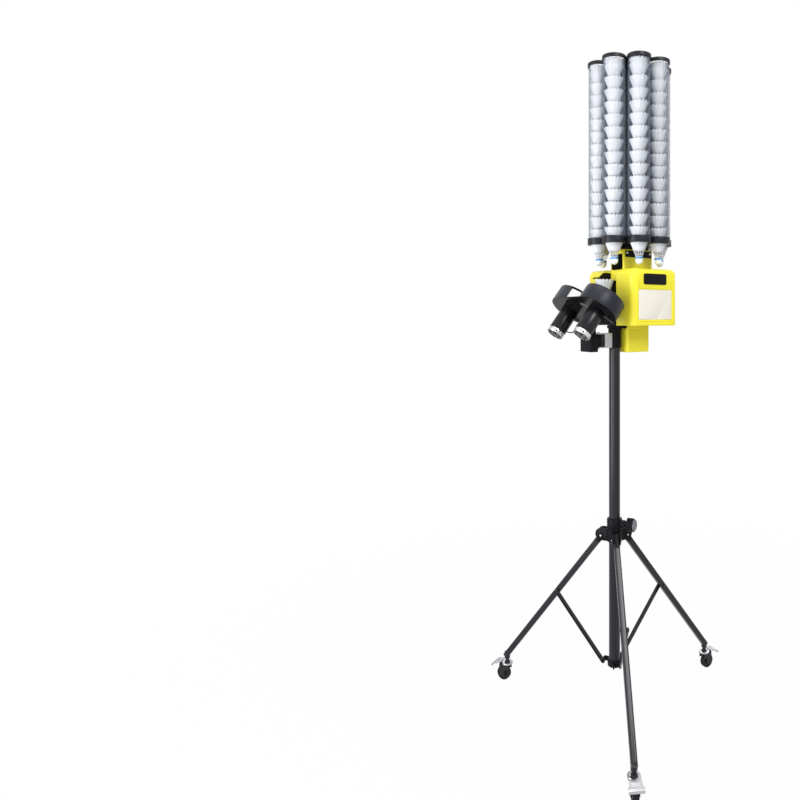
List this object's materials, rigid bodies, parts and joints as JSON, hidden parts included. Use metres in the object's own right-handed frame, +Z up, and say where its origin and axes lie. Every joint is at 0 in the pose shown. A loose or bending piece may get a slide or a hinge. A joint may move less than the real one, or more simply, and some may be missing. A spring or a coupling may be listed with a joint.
{
  "type": "badminton serving machine",
  "caption": "Shuttlecock launcher on a wheeled folding tripod: tilting head with spinning wheels, yellow housing and a turning magazine of clear tubes.",
  "frame": {"origin": "centre of the footprint, on the floor", "axes": "+Z up, +X the shooting direction, +Y the side with the panel"},
  "size_m": [0.7208, 0.8302, 2.1792],
  "materials": {
    "dark_steel": "dark grey paint, semi-gloss",
    "black_plastic": "black moulded plastic",
    "caster_tyre": "black rubber",
    "chrome": "plated steel",
    "yellow_housing": "yellow, satin",
    "pale_panel": "pale beige, satin",
    "slate_guard": "slate grey moulding",
    "wheel_foam": "light grey foam",
    "silver": "bright metal",
    "clear_tube": "clear plastic",
    "shuttle_white": "white"
  },
  "bodies": {
    "stand": {"mast": "dark_steel", "brace_hub": "black_plastic", "mast_sleeve": "black_plastic", "housing_left": "yellow_housing", "housing_right": "yellow_housing", "side_panel": "pale_panel", "channel_liner": "black_plastic", "battery_box": "yellow_housing", "neck": "yellow_housing", "magazine_motor": "silver", "turntable_disc": "black_plastic", "pan_bracket": "silver"},
    "collar": {"collar": "black_plastic"},
    "knob": {"clamp_knob": "black_plastic"},
    "magazine": {"magazine_ring": "black_plastic", "magazine_cap": "black_plastic", "centre_column": "black_plastic", "shuttle_tube_1": "clear_tube", "shuttle_tube_2": "clear_tube", "shuttle_tube_3": "clear_tube", "shuttle_tube_4": "clear_tube", "shuttle_tube_5": "clear_tube", "shuttle_tube_6": "clear_tube", "shuttle_tube_7": "clear_tube", "shuttle_tube_8": "clear_tube", "shuttle_stack_1": "shuttle_white", "shuttle_stack_2": "shuttle_white", "shuttle_stack_3": "shuttle_white", "shuttle_stack_4": "shuttle_white", "shuttle_stack_5": "shuttle_white", "shuttle_stack_6": "shuttle_white", "shuttle_stack_7": "shuttle_white", "shuttle_stack_8": "shuttle_white"},
    "pan": {"pan_carrier": "black_plastic"},
    "launcher": {"tilt_base": "black_plastic", "guard_left": "slate_guard", "guard_right": "slate_guard", "motor_left": "black_plastic", "motor_right": "black_plastic", "motor_lead": "black_plastic"},
    "launch_wheel_left": {"launch_wheel_left": "wheel_foam"},
    "launch_wheel_right": {"launch_wheel_right": "wheel_foam"},
    "feeder": {"feed_gripper": "silver", "loaded_shuttle": "shuttle_white"},
    "switch": {"switch_rocker": "black_plastic"},
    "leg_1": {"leg_1": "dark_steel"},
    "brace_1": {"brace_1": "dark_steel"},
    "fork_1": {"caster_fork_1": "black_plastic"},
    "wheel_1": {"caster_wheel_1": "caster_tyre"},
    "pedal_1": {"brake_pedal_1": "chrome"},
    "leg_2": {"leg_2": "dark_steel"},
    "brace_2": {"brace_2": "dark_steel"},
    "fork_2": {"caster_fork_2": "black_plastic"},
    "wheel_2": {"caster_wheel_2": "caster_tyre"},
    "pedal_2": {"brake_pedal_2": "chrome"},
    "leg_3": {"leg_3": "dark_steel"},
    "brace_3": {"brace_3": "dark_steel"},
    "fork_3": {"caster_fork_3": "black_plastic"},
    "wheel_3": {"caster_wheel_3": "caster_tyre"},
    "pedal_3": {"brake_pedal_3": "chrome"}
  },
  "joints": [
    {"name": "collar_slide", "type": "slide", "parent": "stand", "child": "collar", "axis": [0, 0, 1], "range_m": [0, 0.122]},
    {"name": "leg_fold_1", "type": "hinge", "parent": "collar", "child": "leg_1", "pos_m": [0.13553, 0.03897, 0.58165], "axis": [-0.866, 0.5, 0], "range_deg": [0, 34.6]},
    {"name": "brace_fold_1", "type": "hinge", "parent": "stand", "child": "brace_1", "pos_m": [0.11975, 0.03884, 0.156], "axis": [0.866, -0.5, 0], "range_deg": [0, 35.5]},
    {"name": "caster_swivel_1", "type": "hinge", "parent": "leg_1", "child": "fork_1", "pos_m": [0.32534, 0.36774, 0.07], "axis": [0, 0, 1], "continuous": true},
    {"name": "caster_spin_1", "type": "hinge", "parent": "fork_1", "child": "wheel_1", "pos_m": [0.33209, 0.37943, 0.025], "axis": [-0.866, 0.5, 0], "continuous": true},
    {"name": "pedal_1", "type": "hinge", "parent": "fork_1", "child": "pedal_1", "pos_m": [0.33359, 0.38203, 0.0625], "axis": [-0.866, 0.5, 0], "range_deg": [0, 12]},
    {"name": "leg_fold_2", "type": "hinge", "parent": "collar", "child": "leg_2", "pos_m": [0.13553, -0.03897, 0.58165], "axis": [0.866, 0.5, 0], "range_deg": [0, 34.6]},
    {"name": "brace_fold_2", "type": "hinge", "parent": "stand", "child": "brace_2", "pos_m": [0.14331, -0.02524, 0.156], "axis": [-0.866, -0.5, 0], "range_deg": [0, 35.5]},
    {"name": "caster_swivel_2", "type": "hinge", "parent": "leg_2", "child": "fork_2", "pos_m": [0.32534, -0.36774, 0.07], "axis": [0, 0, 1], "continuous": true},
    {"name": "caster_spin_2", "type": "hinge", "parent": "fork_2", "child": "wheel_2", "pos_m": [0.33209, -0.37943, 0.025], "axis": [0.866, 0.5, 0], "continuous": true},
    {"name": "pedal_2", "type": "hinge", "parent": "fork_2", "child": "pedal_2", "pos_m": [0.33359, -0.38203, 0.0625], "axis": [0.866, 0.5, 0], "range_deg": [0, 12]},
    {"name": "leg_fold_3", "type": "hinge", "parent": "collar", "child": "leg_3", "pos_m": [0.06803, 0, 0.58165], "axis": [0, -1, 0], "range_deg": [0, 34.6]},
    {"name": "brace_fold_3", "type": "hinge", "parent": "stand", "child": "brace_3", "pos_m": [0.07603, -0.0136, 0.156], "axis": [0, 1, 0], "range_deg": [0, 35.5]},
    {"name": "caster_swivel_3", "type": "hinge", "parent": "leg_3", "child": "fork_3", "pos_m": [-0.3116, 0, 0.07], "axis": [0, 0, 1], "continuous": true},
    {"name": "caster_spin_3", "type": "hinge", "parent": "fork_3", "child": "wheel_3", "pos_m": [-0.3251, 0, 0.025], "axis": [0, -1, 0], "continuous": true},
    {"name": "pedal_3", "type": "hinge", "parent": "fork_3", "child": "pedal_3", "pos_m": [-0.3281, 0, 0.0625], "axis": [0, -1, 0], "range_deg": [0, 12]},
    {"name": "knob_turn", "type": "hinge", "parent": "collar", "child": "knob", "pos_m": [0.11303, 0, 0.62665], "axis": [-0.5, 0.866, 0], "range_deg": [0, 540]},
    {"name": "magazine_turn", "type": "hinge", "parent": "stand", "child": "magazine", "pos_m": [0.04603, 0, 1.55], "axis": [0, 0, 1], "continuous": true},
    {"name": "pan", "type": "hinge", "parent": "stand", "child": "pan", "pos_m": [0.18303, 0, 1.25], "axis": [0, 0, 1], "range_deg": [-10, 10]},
    {"name": "tilt", "type": "hinge", "parent": "pan", "child": "launcher", "pos_m": [0.22003, 0, 1.303], "axis": [0, 1, 0], "range_deg": [0, 38]},
    {"name": "launch_spin_left", "type": "hinge", "parent": "launcher", "child": "launch_wheel_left", "pos_m": [0.2247, 0.0765, 1.3701], "axis": [-0.6157, 0, 0.788], "continuous": true},
    {"name": "launch_spin_right", "type": "hinge", "parent": "launcher", "child": "launch_wheel_right", "pos_m": [0.2247, -0.0765, 1.3701], "axis": [-0.6157, 0, 0.788], "continuous": true},
    {"name": "feed_swing", "type": "hinge", "parent": "launcher", "child": "feeder", "pos_m": [0.18472, 0, 1.37694], "axis": [0, -1, 0], "range_deg": [0, 128]},
    {"name": "switch_rock", "type": "hinge", "parent": "stand", "child": "switch", "pos_m": [-0.05647, 0.0805, 1.3573], "axis": [0, -1, 0], "range_deg": [0, 14]}
  ],
  "couplings": [
    {"joint": "leg_fold_1", "follows": "collar_slide", "rad_per_m": 4.9299},
    {"joint": "brace_fold_1", "follows": "collar_slide", "rad_per_m": 5.0567},
    {"joint": "leg_fold_2", "follows": "collar_slide", "rad_per_m": 4.9299},
    {"joint": "brace_fold_2", "follows": "collar_slide", "rad_per_m": 5.0567},
    {"joint": "leg_fold_3", "follows": "collar_slide", "rad_per_m": 4.9299},
    {"joint": "brace_fold_3", "follows": "collar_slide", "rad_per_m": 5.0567}
  ]
}
